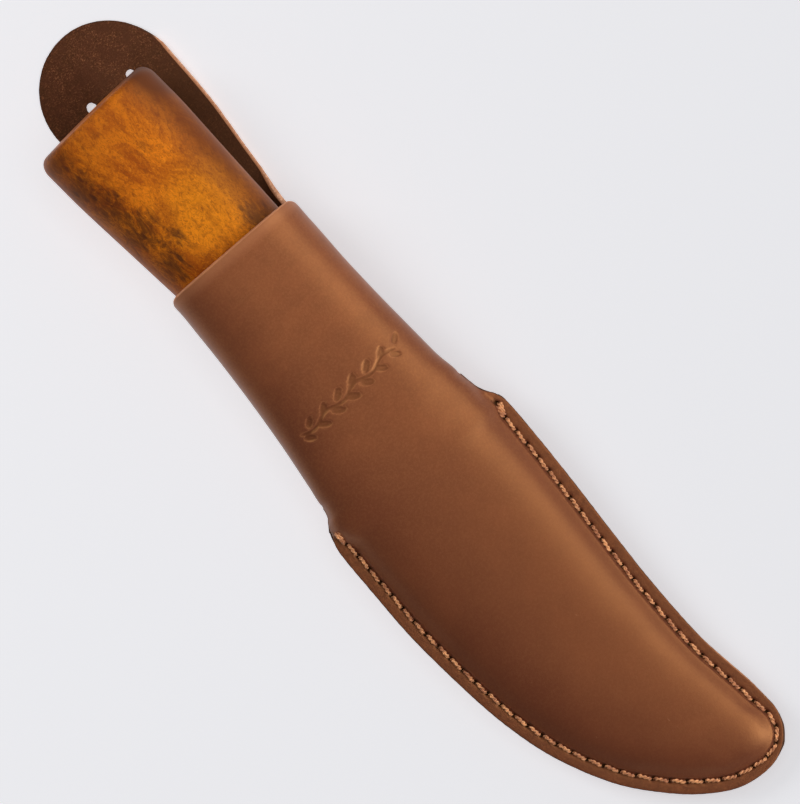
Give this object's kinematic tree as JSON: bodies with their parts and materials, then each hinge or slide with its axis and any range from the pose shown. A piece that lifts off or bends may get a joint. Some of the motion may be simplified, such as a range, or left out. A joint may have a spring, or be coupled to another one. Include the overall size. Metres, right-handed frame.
{
  "type": "sheathed belt knife",
  "caption": "Fixed-blade belt knife with a figured wood handle, drawn straight out of a moulded leather sheath with a slotted belt tongue.",
  "frame": {"origin": "centre of the footprint, on the surface that the sheath lies on", "axes": "+Y along the sheath towards the knife's butt, +X towards the blade's spine, +Z out of the sheath's front face"},
  "size_m": [0.0636, 0.267, 0.0334],
  "materials": {
    "leather_grain": "waxed satin grain side, chestnut brown",
    "leather_flesh": "matt napped flesh side, dark chocolate, with tan cut edges",
    "waxed_thread": "waxed twisted thread, copper brown",
    "insert_plastic": "matt black moulding",
    "blade_steel": "satin ground steel",
    "burl_wood": "oiled satin burl, amber with dark figure",
    "set_glue": "set epoxy"
  },
  "bodies": {
    "sheath": {"sheath_front": "leather_grain", "sheath_back": "leather_flesh", "liner_front": "insert_plastic", "liner_back": "insert_plastic", "pouch_thread_front": "waxed_thread", "pouch_thread_back": "waxed_thread", "collar_thread_left": "waxed_thread", "collar_thread_right": "waxed_thread"},
    "knife": {"blade": "blade_steel", "handle": "burl_wood", "tang_bedding": "set_glue"}
  },
  "joints": [
    {"name": "knife_draw", "type": "slide", "parent": "sheath", "child": "knife", "axis": [0, 0.998, 0.0626], "range_m": [0, 0.19]}
  ]
}
